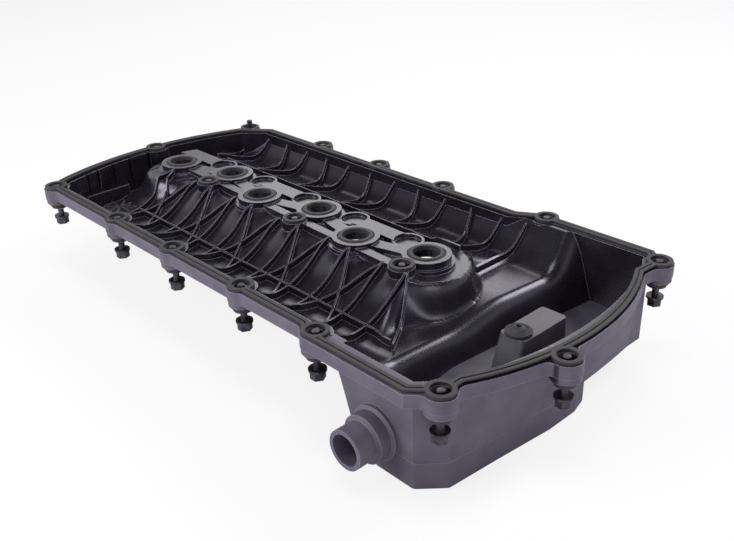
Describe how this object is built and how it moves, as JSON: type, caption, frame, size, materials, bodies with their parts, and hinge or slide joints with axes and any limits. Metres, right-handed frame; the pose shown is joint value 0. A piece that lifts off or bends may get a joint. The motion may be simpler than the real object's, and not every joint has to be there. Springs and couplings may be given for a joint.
{
  "type": "engine valve cover",
  "caption": "Moulded engine valve cover lying gasket side up, with spark-plug seals, captive bolts, bracing ribs, an oil separator and a breather stub.",
  "frame": {"origin": "axis of plug port 1 on the plane where the gasket meets the cylinder head", "axes": "+X along the row of plug ports towards the deep end, +Y away from the side with the stub, +Z out of the open side towards the cylinder head"},
  "size_m": [0.5736, 0.2993, 0.092],
  "materials": {
    "black_nylon": "moulded glass-filled nylon, satin inside and dull outside",
    "baffle_nylon": "dull moulded nylon",
    "gasket_rubber": "dull moulded acrylic rubber",
    "grommet_rubber": "dull moulded rubber",
    "sleeve_steel": "plated steel",
    "bolt_steel": "dark phosphate coated steel"
  },
  "bodies": {
    "cover": {"cover_housing": "black_nylon", "perimeter_gasket": "gasket_rubber", "inner_bolt_gaskets": "gasket_rubber", "bolt_grommets": "grommet_rubber", "bolt_sleeves": "sleeve_steel", "separator_lid": "black_nylon", "oil_baffle": "baffle_nylon", "drain_valve": "baffle_nylon", "plug_seal_1": "gasket_rubber", "plug_seal_2": "gasket_rubber", "plug_seal_3": "gasket_rubber", "plug_seal_4": "gasket_rubber", "plug_seal_5": "gasket_rubber", "plug_seal_6": "gasket_rubber"},
    "bolt_01": {"bolt_01": "bolt_steel"},
    "bolt_02": {"bolt_02": "bolt_steel"},
    "bolt_03": {"bolt_03": "bolt_steel"},
    "bolt_04": {"bolt_04": "bolt_steel"},
    "bolt_05": {"bolt_05": "bolt_steel"},
    "bolt_06": {"bolt_06": "bolt_steel"},
    "bolt_07": {"bolt_07": "bolt_steel"},
    "bolt_08": {"bolt_08": "bolt_steel"},
    "bolt_09": {"bolt_09": "bolt_steel"},
    "bolt_10": {"bolt_10": "bolt_steel"},
    "bolt_11": {"bolt_11": "bolt_steel"},
    "bolt_12": {"bolt_12": "bolt_steel"},
    "bolt_13": {"bolt_13": "bolt_steel"},
    "bolt_14": {"bolt_14": "bolt_steel"},
    "bolt_15": {"bolt_15": "bolt_steel"},
    "bolt_16": {"bolt_16": "bolt_steel"},
    "bolt_17": {"bolt_17": "bolt_steel"}
  },
  "joints": [
    {"name": "bolt_01_slide", "type": "slide", "parent": "cover", "child": "bolt_01", "axis": [0, 0, 1], "range_m": [0, 0.0079]},
    {"name": "bolt_02_slide", "type": "slide", "parent": "cover", "child": "bolt_02", "axis": [0, 0, 1], "range_m": [0, 0.0079]},
    {"name": "bolt_03_slide", "type": "slide", "parent": "cover", "child": "bolt_03", "axis": [0, 0, 1], "range_m": [0, 0.0079]},
    {"name": "bolt_04_slide", "type": "slide", "parent": "cover", "child": "bolt_04", "axis": [0, 0, 1], "range_m": [0, 0.0079]},
    {"name": "bolt_05_slide", "type": "slide", "parent": "cover", "child": "bolt_05", "axis": [0, 0, 1], "range_m": [0, 0.0079]},
    {"name": "bolt_06_slide", "type": "slide", "parent": "cover", "child": "bolt_06", "axis": [0, 0, 1], "range_m": [0, 0.0079]},
    {"name": "bolt_07_slide", "type": "slide", "parent": "cover", "child": "bolt_07", "axis": [0, 0, 1], "range_m": [0, 0.0079]},
    {"name": "bolt_08_slide", "type": "slide", "parent": "cover", "child": "bolt_08", "axis": [0, 0, 1], "range_m": [0, 0.0079]},
    {"name": "bolt_09_slide", "type": "slide", "parent": "cover", "child": "bolt_09", "axis": [0, 0, 1], "range_m": [0, 0.0079]},
    {"name": "bolt_10_slide", "type": "slide", "parent": "cover", "child": "bolt_10", "axis": [0, 0, 1], "range_m": [0, 0.0079]},
    {"name": "bolt_11_slide", "type": "slide", "parent": "cover", "child": "bolt_11", "axis": [0, 0, 1], "range_m": [0, 0.0079]},
    {"name": "bolt_12_slide", "type": "slide", "parent": "cover", "child": "bolt_12", "axis": [0, 0, 1], "range_m": [0, 0.0079]},
    {"name": "bolt_13_slide", "type": "slide", "parent": "cover", "child": "bolt_13", "axis": [0, 0, 1], "range_m": [-0.0076, 0.0003]},
    {"name": "bolt_14_slide", "type": "slide", "parent": "cover", "child": "bolt_14", "axis": [0, 0, 1], "range_m": [0, 0.0079]},
    {"name": "bolt_15_slide", "type": "slide", "parent": "cover", "child": "bolt_15", "axis": [0, 0, 1], "range_m": [0, 0.0079]},
    {"name": "bolt_16_slide", "type": "slide", "parent": "cover", "child": "bolt_16", "axis": [0, 0, 1], "range_m": [0, 0.0079]},
    {"name": "bolt_17_slide", "type": "slide", "parent": "cover", "child": "bolt_17", "axis": [0, 0, 1], "range_m": [0, 0.0079]}
  ]
}
